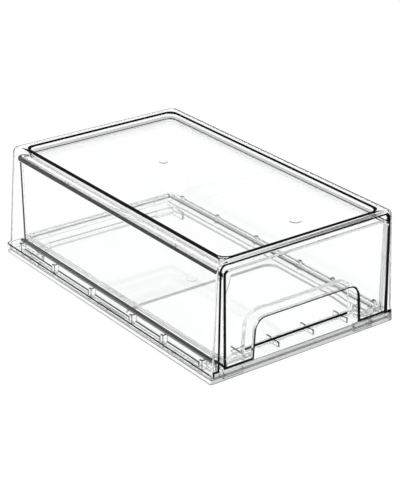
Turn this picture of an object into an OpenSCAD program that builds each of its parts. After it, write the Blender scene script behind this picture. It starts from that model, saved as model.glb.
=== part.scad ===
// Stackable drawer box moulded in clear plastic: a housing open at the front,
// a base frame that clicks on under it, and a drawer that slides out of it.
// Millimetres. The origin is on the ground under the middle of the base,
// +Z is up, the drawer opens towards -Y, and X runs across the width.

/* [Overall] */
// Width of the base, side to side
base_w = 210; // [170:1:255]
// Depth of the base, front to back
base_d = 345; // [280:1:420]
// Height from the ground to the top of the roof
total_h = 116.4; // [95:0.1:145]

/* [Housing] */
// Wall thickness of the housing
shell_t = 2.5; // [2:0.1:3.2]
// How far each side wall leans in between the base and the roof
side_lean = 5.3; // [2:0.1:7]
// How far the back wall leans in between the base and the roof
back_lean = 6; // [2:0.1:8]
// Distance from the front of the base back to the housing's front edge
front_setback = 0.3; // [0.1:0.1:2]
// Radius along the top edges at the sides and the back
roof_edge_r = 5; // [3:0.5:6]
// Radius along the top edge at the front
roof_front_r = 3; // [1.5:0.5:4]
// Radius of the upright corners at the back
back_corner_r = 7; // [6.5:0.5:10]
// Radius of the upright corners at the front
front_corner_r = 2.4; // [1:0.1:3]
// Radius inside the housing between the walls and the roof
inner_edge_r = 3; // [1:0.5:4]

/* [Stacking recess] */
// Rim left beside the recess at each side
rim_side = 10.8; // [8:0.1:16]
// Rim left in front of the recess
rim_front = 6.9; // [6:0.1:10]
// Rim left behind the recess
rim_back = 12; // [9:0.1:18]
// Depth of the recess below the rim
recess_depth = 6.8; // [5:0.1:8]
// How far the recess walls lean in over that depth
recess_lean = 1.3; // [0.5:0.1:2]
// Corner radius of the recess, seen from above
recess_corner_r = 9.5; // [6:0.5:14]

/* [Base frame] */
// Height of the feet below the base rim
foot_h = 3; // [2:0.1:4]
// Length of each leg of a foot
foot_leg = 22; // [12:1:28]
// Width of a foot
foot_t = 3; // [2:0.1:5]
// Clearance between the feet and the recess of the box below
stack_gap = 0.8; // [0.5:0.1:1.5]
// Height of the rim that the housing stands in
rim_h = 9; // [7:0.1:12]
// Thickness of the lip outside the housing wall
lip_t = 1.4; // [1.2:0.1:2]
// Clearance between that lip and the housing wall
shell_gap = 0.2; // [0.1:0.05:0.3]
// Thickness of the plates of the frame
plate_t = 2.5; // [2:0.1:3]
// Height of the strips under the housing walls
deck_h = 5.5; // [4.5:0.1:6.5]
// Height of the window edges and of the cross bar
window_h = 3; // [2.5:0.1:4]
// Radius of the back corners of the base, seen from above
base_corner_r = 5; // [4:0.1:8]
// Radius of the front corners of the base, seen from above
base_front_r = 2.6; // [1.5:0.1:3]
// Width of the front strip
strip_front = 35.5; // [30:0.5:45]
// Width of the rear strip
strip_back = 25; // [24:0.5:32]
// Width of the cross bar between the windows
crossbar_w = 26; // [18:1:40]
// Corner radius of the windows
window_corner_r = 12; // [6:1:18]

/* [Ribs and catches] */
// Thickness of the ribs and rails
rib_t = 1.8; // [1.2:0.1:2.5]
// Height of the stiffening ribs on the front strip
rib_h = 4.7; // [3:0.1:6]
// Length of the stiffening ribs on the front strip
rib_len = 20; // [14:1:26]
// Distance between the two middle ribs, and from them to the next
rib_pitch = 40; // [30:1:46]
// Thickness of the rails that the drawer runs on
rail_t = 3; // [2:0.1:3.5]
// Height of the rails' top above the bottom of the rim
rail_top = 12.2; // [11:0.1:15]
// Height of the tabs that stand inside the housing walls
tab_h = 9.5; // [7:0.1:11]
// Length of a tab along the wall
tab_len = 4; // [3:0.5:6]
// How far a tab reaches from the housing wall towards the drawer
tab_reach = 5.6; // [4:0.1:7]
// Length of a catch on the housing wall
catch_len = 4; // [3:0.5:6]
// Height of a catch
catch_h = 1.6; // [1:0.1:2]
// How far a catch stands out of the wall
catch_out = 0.9; // [0.6:0.1:1.2]
// Clearance round a catch in its window
catch_gap = 0.3; // [0.2:0.1:0.6]

/* [Drawer] */
// Wall thickness of the drawer
drawer_t = 2.5; // [2:0.1:3]
// Gap beside the drawer's front at its top, at each side
panel_side_gap = 2.5; // [1.5:0.1:4]
// How much narrower each side of the front is at the bottom
panel_lean = 1.1; // [0:0.1:3]
// Gap between the top of the front and the roof
panel_top_gap = 4.9; // [3:0.1:7]
// How far the front stands out of the housing
panel_proud = 3.1; // [2.7:0.1:6]
// Corner radius of the front
panel_corner_r = 4; // [1:0.5:5]
// How far the front is wider than the tray, at each side
panel_overlap = 1.5; // [1:0.1:3]
// Gap between the tray's top and the underside of the recess
tray_top_gap = 1.1; // [0.8:0.1:4]
// Gap between the tray's rim and the housing's back wall
tray_back_gap = 2; // [1.5:0.1:5]
// Height of the tray's rolled rim
rim_roll_h = 4.5; // [3:0.5:8]
// Corner radius of the tray
tray_corner_r = 6; // [4:0.5:12]
// Running gap between the drawer and the rails
run_gap = 0.3; // [0.2:0.05:0.6]
// Height of the tray's floor above its lower edge
floor_rise = 3; // [2:0.1:8]
// Radius inside the tray between walls and floor
floor_r = 4; // [1:0.5:8]

/* [Finger recess] */
// Width of the finger recess at its top
grip_w = 115.2; // [90:0.1:140]
// How much wider each side of it is at the bottom
grip_flare = 2.6; // [0:0.1:5]
// Height of the finger recess above the drawer's lower edge
grip_h = 37.6; // [25:0.1:60]
// Depth of the finger recess
grip_depth = 14.5; // [10:0.1:22]
// Corner radius of the finger recess
grip_corner_r = 10; // [4:0.5:16]

/* [Hidden] */
$fn = 48;
arc_steps = 6;      // segments in each quarter round
min_r = 0.6;        // smallest corner radius that a ring may keep
bite = 0.5;         // how far one body is carried into another so that they join
past = 2;           // how far a cut runs past the face that it opens

// Levels above the ground
rim_z = foot_h;
deck_z = rim_z + deck_h;
window_z = rim_z + window_h;
rail_z = rim_z + rail_top;
tab_z = deck_z + tab_h;
roof_in_z = total_h - shell_t;
recess_z = total_h - recess_depth;
recess_under_z = recess_z - shell_t;
drawer_z = rail_z + run_gap;
panel_z = roof_in_z - panel_top_gap;
tray_z = recess_under_z - tray_top_gap;
floor_z = drawer_z + floor_rise;

// Housing outline: half width and back face at height z, and its front face
shell_foot_x = base_w / 2 - lip_t - shell_gap;
shell_foot_y = base_d / 2 - lip_t - shell_gap;
shell_front = -base_d / 2 + front_setback;
function rise(z) = (z - deck_z) / (total_h - deck_z);
function shell_x(z) = shell_foot_x - side_lean * rise(z);
function shell_back(z) = shell_foot_y - back_lean * rise(z);

// Recess outline at the top of the rim
recess_x = shell_x(total_h) - rim_side;
recess_front = shell_front + rim_front;
recess_back = shell_back(total_h) - rim_back;

// Drawer outline
panel_x = shell_x(roof_in_z) - shell_t - panel_side_gap;
panel_foot_x = panel_x - panel_lean;
panel_front = shell_front - panel_proud;
tray_front = panel_front + drawer_t;
tray_x = panel_x - panel_overlap;
tray_foot_x = panel_foot_x - panel_overlap;
tray_back = shell_back(tray_z) - shell_t - tray_back_gap - panel_overlap;
function tray_x_at(z) = tray_foot_x + (tray_x - tray_foot_x) * (z - drawer_z) / (tray_z - drawer_z);

// Base frame outlines
window_front = -base_d / 2 + strip_front;
window_back = base_d / 2 - strip_back;
rail_x = tray_foot_x - drawer_t / 2;
window_x = rail_x - rail_t / 2;
rail_front = -base_d / 2 + strip_front - rib_len - rail_t;
stop_y = tray_back + panel_overlap + tray_back_gap;
rib_y = window_front - rail_t - rib_len;
rib_x = [for (i = [-3:2:3]) i * rib_pitch / 2];
end_box_x = 2 * rib_pitch;
nominal_d = 345;    // depth for which the places of the tabs and catches are given
tab_y = [-152.5, -94, -45, 23, 88, 150] * base_d / nominal_d;
bar_inset = 3;      // space between a tab and the bar next to it
bar_gap = 9;        // distance from the bars to the housing wall
slot_x = [50, 78];  // centres of the slots in the rear stop
slot_w = 14;
slot_h = 3;

// A quarter round about (cx, cy), starting at angle a
function arc(cx, cy, r, a) =
    [for (i = [0:arc_steps]) [cx + r * cos(a + 90 * i / arc_steps), cy + r * sin(a + 90 * i / arc_steps)]];

// Rounded rectangle from -hw to hw and from yf to yb, with its own radius at the front and the back
function outline(hw, yf, yb, rf, rb) = concat(
    arc(hw - rb, yb - rb, rb, 0), arc(-hw + rb, yb - rb, rb, 90),
    arc(-hw + rf, yf + rf, rf, 180), arc(hw - rf, yf + rf, rf, 270));

// Solid through a stack of outlines, each given as [z, half width, front, back, front radius, back radius]
module loft(stack) {
    n = 4 * (arc_steps + 1);
    top = (len(stack) - 1) * n;
    points = [for (s = stack) for (p = outline(s[1], s[2], s[3], s[4], s[5])) [p.x, p.y, s[0]]];
    sides = [for (k = [0:len(stack) - 2]) for (i = [0:n - 1])
        let (a = k * n + i, d = k * n + (i + 1) % n) each [[a, a + n, d + n], [a, d + n, d]]];
    polyhedron(points, concat([[for (i = [0:n - 1]) i]], [[for (i = [n - 1:-1:0]) top + i]], sides));
}

// Flat rounded rectangle with its own radius at the front and the back
module rounded(hw, yf, yb, rf, rb) {
    for (sx = [-1, 1]) {
        translate([sx * (hw - rf), yf + rf]) circle(rf);
        translate([sx * (hw - rb), yb - rb]) circle(rb);
    }
    polygon([[-hw + rf, yf], [hw - rf, yf], [hw, yf + rf], [hw, yb - rb],
        [hw - rb, yb], [-hw + rb, yb], [-hw, yb - rb], [-hw, yf + rf]]);
}

// Plate with the outline of the base moved in by inset, from z up by h
module base_plate(inset, z, h, front_inset = undef) {
    yf = -base_d / 2 + (is_undef(front_inset) ? inset : front_inset);
    translate([0, 0, z]) linear_extrude(h) rounded(base_w / 2 - inset, yf, base_d / 2 - inset,
        max(min_r, base_front_r - inset), base_corner_r - inset);
}

// A copy of the children at each side
module both_sides() {
    for (sx = [0, 1]) mirror([sx, 0, 0]) children();
}

/* Housing */

// Outside of the housing: leaning walls and a rolled edge round the roof
function shell_ring(z, in_side, in_front) = [z, shell_x(z) - in_side, shell_front + in_front,
    shell_back(z) - in_side, max(min_r, front_corner_r - in_front), max(min_r, back_corner_r - in_side)];
module shell_outside() {
    shoulder = total_h - roof_edge_r;
    loft(concat([shell_ring(deck_z, 0, 0)], [for (i = [0:arc_steps]) let (a = 90 * i / arc_steps)
        shell_ring(shoulder + roof_edge_r * sin(a),
            roof_edge_r * (1 - cos(a)), roof_front_r * (1 - cos(a)))]));
}

// Room inside the housing, open at the front and below
function room_ring(z, inset) = [z, shell_x(z) - shell_t - inset, shell_front - past,
    shell_back(z) - shell_t - inset, min_r, max(min_r, back_corner_r - shell_t - inset)];
module shell_room() {
    shoulder = roof_in_z - inner_edge_r;
    loft(concat([room_ring(deck_z - past, 0)], [for (i = [0:arc_steps]) let (a = 90 * i / arc_steps)
        room_ring(shoulder + inner_edge_r * sin(a), inner_edge_r * (1 - cos(a)))]));
}

// The stacking recess, or with a positive grow the jacket of plastic round it
function recess_ring(z, inset) = [z, recess_x - inset, recess_front + inset, recess_back - inset,
    recess_corner_r - inset, recess_corner_r - inset];
module recess_block(z, grow, top) {
    loft([for (level = [z, top]) recess_ring(level, recess_lean * (total_h - level) / recess_depth - grow)]);
}

// Catches on the housing walls that click into windows of the base lip
catch_y = [-147, -117, -104, -13, 2, 17, 108, 123, 138, 150] * base_d / nominal_d;
catch_z = deck_z + shell_gap + catch_h;
module catches(reach, grow = 0) {
    for (y = catch_y) translate([shell_foot_x - bite, y - catch_len / 2 - grow, catch_z - catch_h / 2 - grow])
        cube([bite + reach, catch_len + 2 * grow, catch_h + 2 * grow]);
}

module housing_shell() {
    color("lightcyan") {
        difference() {
            shell_outside();
            difference() {
                shell_room();
                recess_block(recess_under_z, shell_t, total_h + past);
            }
            recess_block(recess_z, 0, total_h + past);
        }
        both_sides() catches(catch_out);
    }
}

/* Base frame */

module windows() {
    y_mid = crossbar_w / 2;
    for (y = [[window_front, -y_mid], [y_mid, window_back]])
        rounded(window_x, y[0], y[1], window_corner_r, window_corner_r);
}

// Outline of the step down to the windows, moved out by grow
module step_outline(grow) {
    r = window_corner_r + rail_t + grow;
    rounded(rail_x + rail_t / 2 + grow, window_front - rail_t - grow, window_back + rail_t + grow, r, r);
}

// Strips all round at deck height, stepped down to the windows and the cross bar, and the feet below
module frame_plate() {
    difference() {
        union() {
            base_plate(bite, deck_z - plate_t, plate_t);
            translate([0, 0, rim_z]) linear_extrude(deck_h) step_outline(plate_t);
            linear_extrude(deck_z) feet();
        }
        translate([0, 0, window_z]) linear_extrude(deck_h) step_outline(0);
        translate([0, 0, -past]) linear_extrude(deck_z + 2 * past) windows();
    }
}

// Rim round the outside, with the lip that the housing wall stands in
module frame_rim() {
    difference() {
        base_plate(0, rim_z, rim_h);
        base_plate(plate_t, rim_z - past, deck_h + past);
        base_plate(lip_t, deck_z, rim_h, plate_t);
        both_sides() wall_groove();
        both_sides() catches(lip_t + shell_gap + past, catch_gap);
    }
}

// Groove for one side wall of the housing, open at the front
module wall_groove() {
    translate([shell_foot_x - shell_t - shell_gap, -base_d / 2 - past, deck_z])
        cube([shell_t + 2 * shell_gap, base_d / 2, rim_h]);
}

// Rails that carry the drawer, from the front ribs to the rear stop
module rails() {
    both_sides() translate([rail_x - rail_t / 2, rail_front, rim_z])
        cube([rail_t, stop_y + rib_t - rail_front, rail_top]);
}

// Upright wall behind the drawer, with slots in it
module rear_stop() {
    difference() {
        translate([-rail_x - rail_t / 2, stop_y, deck_z - bite])
            cube([2 * rail_x + rail_t, rib_t, rail_z - deck_z + bite]);
        both_sides() for (x = slot_x) translate([x - slot_w / 2, stop_y - past, deck_z + bite])
            cube([slot_w, rib_t + 2 * past, slot_h]);
    }
}

// Ribs on the front strip, with a small box at each end
module front_ribs() {
    for (x = rib_x) translate([x - rib_t / 2, rib_y, deck_z - bite])
        cube([rib_t, rib_len, rib_h + bite]);
    both_sides() translate([end_box_x, rib_y, deck_z - bite]) difference() {
        cube([rail_x - end_box_x, rib_len - rib_h, rib_h + bite]);
        translate([rib_t, rib_t, bite]) cube([rail_x, rib_len - rib_h - 2 * rib_t, rib_h + bite]);
    }
}

// Tabs that stand inside one side wall, and the low bars between them
module tabs() {
    x_wall = shell_x(tab_z) - shell_t - shell_gap;
    for (y = tab_y) translate([x_wall - tab_reach, y - tab_len / 2, deck_z - bite]) {
        translate([tab_reach - rib_t, 0, 0]) cube([rib_t, tab_len, tab_h + bite]);
        cube([tab_reach, rib_t, tab_h + bite]);
    }
    for (i = [0:len(tab_y) - 2]) let (y0 = tab_y[i] + tab_len / 2 + bar_inset)
        translate([x_wall - bar_gap + tab_reach, y0, deck_z - bite])
            cube([rib_t, tab_y[i + 1] - tab_len / 2 - bar_inset - y0, rib_h + bite]);
}

// L-shaped feet that drop into the recess of the box below
module feet() {
    foot_x = recess_x - stack_gap;
    both_sides() for (y = [[recess_front + stack_gap, 1], [recess_back - stack_gap, -1]])
        translate([foot_x, y[0]]) scale([1, y[1]]) {
            translate([-foot_leg, 0]) square([foot_leg, foot_t]);
            translate([-foot_t, 0]) square([foot_t, foot_leg]);
        }
}

module base_frame() {
    color("azure") {
        frame_plate();
        frame_rim();
        rails();
        rear_stop();
        front_ribs();
        both_sides() tabs();
    }
}

/* Drawer */

// Outside and inside of the tray
function tray_ring(z, inset, r) = [z, tray_x_at(z) - inset, tray_front - bite, tray_back - inset, min_r, r];
module tray_outside() {
    loft([tray_ring(drawer_z, 0, tray_corner_r), tray_ring(tray_z, 0, tray_corner_r)]);
    roll_z = tray_z - rim_roll_h;
    loft([tray_ring(roll_z, -panel_overlap / 2, tray_corner_r + panel_overlap / 2),
        tray_ring(roll_z + panel_overlap, -panel_overlap, tray_corner_r + panel_overlap),
        tray_ring(tray_z, -panel_overlap, tray_corner_r + panel_overlap)]);
}
function hollow_ring(z, inset) = [z, tray_x_at(z) - drawer_t - inset, tray_front + inset,
    tray_back - drawer_t - inset, tray_corner_r, max(min_r, tray_corner_r - drawer_t)];
module tray_hollow() {
    loft(concat([for (i = [0:arc_steps]) let (a = 90 * i / arc_steps)
        hollow_ring(floor_z + drawer_t + floor_r * (1 - cos(a)), floor_r * (1 - sin(a)))],
        [hollow_ring(tray_z + past, 0)]));
}
module tray_underside() {
    loft([for (z = [drawer_z - past, floor_z]) [z, tray_foot_x - drawer_t, tray_front,
        tray_back - drawer_t, min_r, max(min_r, tray_corner_r - drawer_t)]]);
}

// Front panel: a flat plate that narrows downwards
module panel() {
    r = panel_corner_r;
    translate([0, tray_front, 0]) rotate([90, 0, 0]) linear_extrude(drawer_t) {
        translate([0, panel_z - r]) square([2 * (panel_x - r), 2 * r], center = true);
        for (sx = [-1, 1]) translate([sx * (panel_x - r), panel_z - r]) circle(r);
        polygon([[-panel_foot_x, drawer_z], [panel_foot_x, drawer_z],
            [panel_x, panel_z - r], [-panel_x, panel_z - r]]);
    }
}

// Arch of the finger recess, or with a positive grow the plastic round it
module grip_block(grow, y_back) {
    half = grip_w / 2 + grow;
    top = drawer_z + grip_h + grow;
    r = grip_corner_r + grow;
    lean = atan(grip_flare / grip_h);
    translate([0, y_back, 0]) rotate([90, 0, 0]) linear_extrude(y_back - panel_front + (grow > 0 ? 0 : past))
        polygon(concat([[half + grip_flare, drawer_z - (grow > 0 ? 0 : past)]],
            [for (i = [0:arc_steps]) let (a = (90 + lean) * i / arc_steps - lean)
                [half - r + r * cos(a), top - r + r * sin(a)]],
            [for (i = [arc_steps:-1:0]) let (a = (90 + lean) * i / arc_steps - lean)
                [-half + r - r * cos(a), top - r + r * sin(a)]],
            [[-half - grip_flare, drawer_z - (grow > 0 ? 0 : past)]]));
}

module drawer_tray() {
    grip_back = panel_front + grip_depth;
    color("aliceblue") difference() {
        union() {
            difference() {
                tray_outside();
                tray_hollow();
                tray_underside();
            }
            panel();
            grip_block(drawer_t, grip_back + drawer_t);
        }
        grip_block(0, grip_back);
    }
}

housing_shell();
base_frame();
drawer_tray();
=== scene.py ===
# %% [markdown]
# # A stackable drawer box in clear plastic
# The box is three mouldings: a housing that is open at the front and below, a base frame that
# clicks on under it, and a drawer with a finger recess. The fixed frame gives their places and
# sizes. Each one is remodelled here from plain boxes with the rounded edges of a real moulding,
# because clear plastic shows itself only by its edges. Dark lines along those edges are painted
# shade: strips of faces that carry a note, and the material reads the note and turns them dark
# where real plastic would bend the light aside.

import math

import bmesh
import bpy
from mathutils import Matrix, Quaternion, Vector


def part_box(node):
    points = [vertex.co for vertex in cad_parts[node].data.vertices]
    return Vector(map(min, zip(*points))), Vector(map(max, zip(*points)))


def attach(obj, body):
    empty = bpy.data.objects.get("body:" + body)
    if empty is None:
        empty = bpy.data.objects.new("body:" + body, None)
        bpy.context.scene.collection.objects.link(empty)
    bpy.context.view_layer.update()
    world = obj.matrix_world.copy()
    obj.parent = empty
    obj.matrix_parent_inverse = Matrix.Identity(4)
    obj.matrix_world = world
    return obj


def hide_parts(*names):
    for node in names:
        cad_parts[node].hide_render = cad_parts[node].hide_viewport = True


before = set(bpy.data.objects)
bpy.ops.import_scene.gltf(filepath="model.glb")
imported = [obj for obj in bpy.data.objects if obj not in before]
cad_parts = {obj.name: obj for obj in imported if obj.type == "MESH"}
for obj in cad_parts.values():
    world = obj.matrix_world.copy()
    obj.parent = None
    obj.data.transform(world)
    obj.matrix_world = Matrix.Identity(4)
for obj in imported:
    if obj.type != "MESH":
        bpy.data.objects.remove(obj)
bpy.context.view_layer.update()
print("fixed frame:", sorted(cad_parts))

# %% [markdown]
# ## Tools for modelling in edit mode
# Everything starts as a box. In edit mode a few faces, edges or corners are picked by their place,
# and an operator shapes them. These helpers keep each later step to a line or two.

# %% Pick, shape, and go back to object mode
MM = 0.001
NEAR = 0.02 * MM            # two places closer than this count as one
EDGE_EASE = 0.35 * MM       # the small radius that polished edges get
SHARP = math.radians(30)    # flatter edges than this aren't rounded
FLAT = 0.9                  # a normal's share along an axis, above which a face lies across it


def lone(piece):
    """Selects one piece and nothing else."""
    bpy.ops.object.select_all(action="DESELECT")
    piece.select_set(True)
    bpy.context.view_layer.objects.active = piece


def pick(piece, kind, test):
    """Opens a piece in edit mode and selects its vertices, edges or faces that pass the test."""
    lone(piece)
    bpy.ops.object.mode_set(mode="EDIT")
    bpy.ops.mesh.select_mode(type=kind)
    bpy.ops.mesh.select_all(action="DESELECT")
    mesh = bmesh.from_edit_mesh(piece.data)
    everything = {"VERT": mesh.verts, "EDGE": mesh.edges, "FACE": mesh.faces}[kind]
    chosen = [item for item in everything if test(item)]
    for item in chosen:
        item.select_set(True)
    bmesh.update_edit_mesh(piece.data)
    return len(chosen)


def leave():
    """Back to object mode."""
    bpy.ops.object.mode_set(mode="OBJECT")


# %% A box between limits, and one whose walls lean
def block(name, x, y, z):
    """A box between two limits along each axis, with its place in its mesh."""
    bpy.ops.object.select_all(action="DESELECT")
    middle = [(low + high) / 2 for low, high in (x, y, z)]
    size = [high - low for low, high in (x, y, z)]
    bpy.ops.mesh.primitive_cube_add(size=1, location=middle, scale=size)
    piece = bpy.context.object
    piece.name = name
    bpy.ops.object.transform_apply(location=True, rotation=True, scale=True)
    return piece


def leaning(name, low, high):
    """A box whose top has its own size. low and high hold level, half width, front and back."""
    z0, half0, front0, back0 = low
    z1, half1, front1, back1 = high
    piece = block(name, (-half0, half0), (front0, back0), (z0, z1))
    pick(piece, "FACE", lambda face: face.normal.z > 0.5)
    middle = (front0 + back0) / 2
    share = (half1 / half0, (back1 - front1) / (back0 - front0), 1)
    bpy.ops.transform.resize(value=share, center_override=(0, middle, z1))
    bpy.ops.transform.translate(value=(0, (front1 + back1) / 2 - middle, 0))
    leave()
    return piece


# %% Round edges, and cut or join with another body
def middle_of(edge):
    return (edge.verts[0].co + edge.verts[1].co) / 2


def upright(edge):
    """True for an edge that runs up a wall."""
    along = edge.verts[1].co - edge.verts[0].co
    return abs(along.z) > FLAT * along.length


def at_level(edge, z):
    return all(abs(v.co.z - z) < NEAR for v in edge.verts)


def in_plane(edge, y):
    return all(abs(v.co.y - y) < NEAR for v in edge.verts)


def in_plane_x(edge):
    """True for an edge that keeps its distance from the middle plane."""
    return abs(edge.verts[0].co.x - edge.verts[1].co.x) < NEAR


def soften(piece, test, radius, steps=5, dark=0.0, note="skin", profile=0.5):
    """Rounds the sharp edges that pass the test, and notes painted shade on the new faces, how dark
    they are.
    """
    count = pick(piece, "EDGE", lambda e: e.calc_face_angle(0) > SHARP and test(e))
    if count:
        bpy.ops.mesh.bevel(offset=radius, offset_type="OFFSET", segments=steps, profile=profile,
                           affect="EDGES", clamp_overlap=False)
        if dark:
            mesh = bmesh.from_edit_mesh(piece.data)
            notes = mesh.faces.layers.float.get(note) or mesh.faces.layers.float.new(note)
            for face in mesh.faces:
                if face.select:
                    face[notes] = dark
            bmesh.update_edit_mesh(piece.data)
    leave()
    return count


def edge_line(piece, test, width, dark, ease=EDGE_EASE, steps=2, note="line"):
    """Lays a strip of painted shade along both sides of the edges that pass, then rounds the edges.
    """
    count = soften(piece, test, width, 2, dark, note, profile=1.0)
    soften(piece, test, ease, steps, dark, note)
    return count


def cut_at(piece, place, test, across=(0, 0, 1)):
    """Cuts the faces that pass the test with a plane, so that a strip of them can be marked."""
    pick(piece, "FACE", lambda face: test(face.calc_center_median(), face.normal))
    bpy.ops.mesh.bisect(plane_co=place * Vector(across), plane_no=across)
    leave()


def mark(piece, note, value, test):
    """Notes a value on the faces whose middle and normal pass the test."""
    mesh = piece.data
    notes = mesh.attributes.get(note) or mesh.attributes.new(note, "FLOAT", "FACE")
    faces = [face for face in mesh.polygons if test(face.center, face.normal)]
    for face in faces:
        notes.data[face.index].value = value
    print(f"{piece.name}: {note} {value} on {len(faces)} faces")


def combine(piece, tool, how="DIFFERENCE"):
    """Cuts a tool out of a piece, or joins it on, and throws the tool away."""
    step = piece.modifiers.new(how.title(), "BOOLEAN")
    step.operation = how
    step.solver = "EXACT"
    step.object = tool
    lone(piece)
    bpy.ops.object.modifier_apply(modifier=step.name)
    bpy.data.objects.remove(tool, do_unlink=True)


def split_hollow_faces(piece):
    """Splits faces that bend round a hole or a corner, so that they can't fill it by mistake."""
    pick(piece, "FACE", lambda face: True)
    bpy.ops.mesh.vert_connect_concave()
    leave()


def as_one(pieces):
    """Joins separate bodies into one mesh, to cut or join them in one go."""
    bpy.ops.object.select_all(action="DESELECT")
    for piece in pieces:
        piece.select_set(True)
    bpy.context.view_layer.objects.active = pieces[0]
    bpy.ops.object.join()
    return bpy.context.object


def tally(piece):
    """Prints how large a mesh is and whether it is closed."""
    mesh = bmesh.new()
    mesh.from_mesh(piece.data)
    open_edges = sum(not edge.is_manifold for edge in mesh.edges)
    volume = mesh.calc_volume() * 1e6
    mesh.free()
    print(f"{piece.name}: {len(piece.data.polygons)} faces, {open_edges} open edges, "
          f"{volume:.1f} cm3")


# %% [markdown]
# ## Sizes
# The levels and outlines come from the boxes of the fixed frame's nodes. Only wall thicknesses and
# small steps, which a box can't tell, are given here in millimetres. A cutting box reaches a little
# past what it cuts, by PAST, so that no face of it lies on a face of the piece.

# %% Levels and outlines
house_low, house_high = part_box("housing_shell")
base_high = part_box("base_frame")[1]
tray_low, tray_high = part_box("drawer_tray")

WALL = 2.5 * MM
PAST = 2 * MM
LIP = 1.4 * MM
LIP_GAP = 0.2 * MM
FOOT = 3 * MM
ROOF = house_high[2]
DECK = house_low[2]
FRONT = house_low[1]
BASE_HALF = base_high[0]
BASE_BACK = base_high[1]
HOUSE_HALF = BASE_HALF - LIP - LIP_GAP
HOUSE_BACK = BASE_BACK - LIP - LIP_GAP
print(f"roof at {ROOF / MM:.1f} mm, deck at {DECK / MM:.1f} mm, "
      f"half of the housing's width {HOUSE_HALF / MM:.1f} mm")

# %% [markdown]
# ## The housing
# A real housing is one moulding with leaning walls, so that it slips off its mould. Plates could be
# joined for its walls, but in clear plastic their seams would show. So it starts as a solid leaning
# block with rounded corners, and a smaller block, the room inside, is cut out of it. The room has a
# dent where the sunken roof panel hangs down, so the roof keeps one wall thickness.

# %% Outside of the housing
SIDE_LEAN = 5.3 * MM
BACK_LEAN = 6 * MM
BACK_CORNER = 7 * MM
CORNER_SHADE = 0.5
ROOF_EDGE = 5 * MM
FRONT_EDGE = 1.6 * MM


def skin(z, inset=0.0):
    """The housing's outline at level z, moved in by inset: level, half width, front and back."""
    up = (z - DECK) / (ROOF - DECK)
    return z, HOUSE_HALF - SIDE_LEAN * up - inset, FRONT, HOUSE_BACK - BACK_LEAN * up - inset


housing = leaning("clear_housing", skin(DECK), skin(ROOF))
# Painted shade, half dark, on the rounded back corners, seen from outside.
soften(housing, lambda e: upright(e) and middle_of(e).y > 0, BACK_CORNER, 8, CORNER_SHADE)
soften(housing, lambda e: at_level(e, ROOF) and middle_of(e).y > FRONT + NEAR, ROOF_EDGE, 8)
soften(housing, lambda e: in_plane(e, FRONT) and not at_level(e, DECK), FRONT_EDGE, 4)
tally(housing)

# %% The sunken panel in the roof, and the jacket of plastic below it
RIM_SIDE = 11.2 * MM
RIM_FRONT = 6.9 * MM
RIM_BACK = 12 * MM
SUNK = 6.8 * MM
SUNK_LEAN = 1.3 * MM
SUNK_CORNER = 9.5 * MM


def sunk(z, grow=0.0):
    """Outline of the sunken panel at level z, moved out by grow."""
    lean = SUNK_LEAN * (ROOF - z) / SUNK - grow
    top = skin(ROOF)
    return z, top[1] - RIM_SIDE - lean, top[2] + RIM_FRONT + lean, top[3] - RIM_BACK - lean


def panel_block(name, floor, grow, fillet):
    """A rounded block in the shape of the sunken panel, from its floor to above the roof."""
    piece = leaning(name, sunk(floor, grow), sunk(ROOF + PAST, grow))
    soften(piece, upright, SUNK_CORNER + grow, 10)
    soften(piece, lambda e: at_level(e, floor), fillet, 4)
    return piece


# %% Cut the room and the sunken panel
ROOM_EDGE = 3 * MM
JACKET_EDGE = 2 * MM
PANEL_FILLET = 0.8 * MM
FRAME_DEEP = 1.6 * MM
FRAME_TOP = ROOF - 4.2 * MM
FRAME_CORNER = 5 * MM
FRAME_FOOT = DECK + 3.9 * MM
MOUTH_HALF = 95.2 * MM
MOUTH_LEAN = 0.017


def room(z):
    """Outline of the room inside the housing, behind the frame of the opening."""
    level, half, front, back = skin(z, WALL)
    return level, half, front + FRAME_DEEP, back


def mouth(z):
    """Outline of the opening in the frame, a little wider than the drawer's rim."""
    half = MOUTH_HALF - MOUTH_LEAN * (z - DECK)
    return z, half, FRONT - PAST, FRONT + FRAME_DEEP + PAST


inside = leaning("room", room(DECK - PAST), room(ROOF - WALL))
soften(inside, lambda e: upright(e) and middle_of(e).y > 0, BACK_CORNER - WALL, 8)
soften(inside, lambda e: at_level(e, ROOF - WALL) and middle_of(e).y > FRONT, ROOM_EDGE, 6)
combine(inside, panel_block("jacket", ROOF - SUNK - WALL, WALL, JACKET_EDGE))
combine(housing, inside)
opening = leaning("opening", mouth(DECK - PAST), mouth(FRAME_TOP))
soften(opening, lambda e: at_level(e, FRAME_TOP) and in_plane_x(e), FRAME_CORNER, 8)
combine(housing, opening)
foot_half = skin(FRAME_FOOT)[1] - WALL
combine(housing, block("foot of the opening", (-foot_half, foot_half),
                       (FRONT - PAST, FRONT + FRAME_DEEP + PAST), (DECK - PAST, FRAME_FOOT)))
combine(housing, panel_block("sunken panel", ROOF - SUNK, 0, PANEL_FILLET))
split_hollow_faces(housing)
tally(housing)

# %% [markdown]
# ### Dark lines on the housing
# Light that comes through clear plastic near an edge is bent aside, so a moulding looks drawn with
# black lines. Here they are painted shade: a strip of faces beside each edge is cut off and gets a
# note, a number from 0 for clear to 1 for black. "line" is dark from both sides, "skin" only
# from outside, and "trap" only for light that is already inside the plastic. The strips are wider
# than a hair, because a line thinner than a dot of the picture would come out grey.

# %% Lines round the rim of the sunken panel and round the opening
MOUTH_LINE = 2.5 * MM
RIM_LINE = 2.5 * MM


def on_panel_rim(edge):
    """True for the edges where the roof turns down into the sunken panel."""
    middle = middle_of(edge)
    rim = sunk(ROOF)
    return (at_level(edge, ROOF) and abs(middle.x) < rim[1] + NEAR
            and rim[2] - NEAR < middle.y < rim[3] + NEAR)


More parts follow.
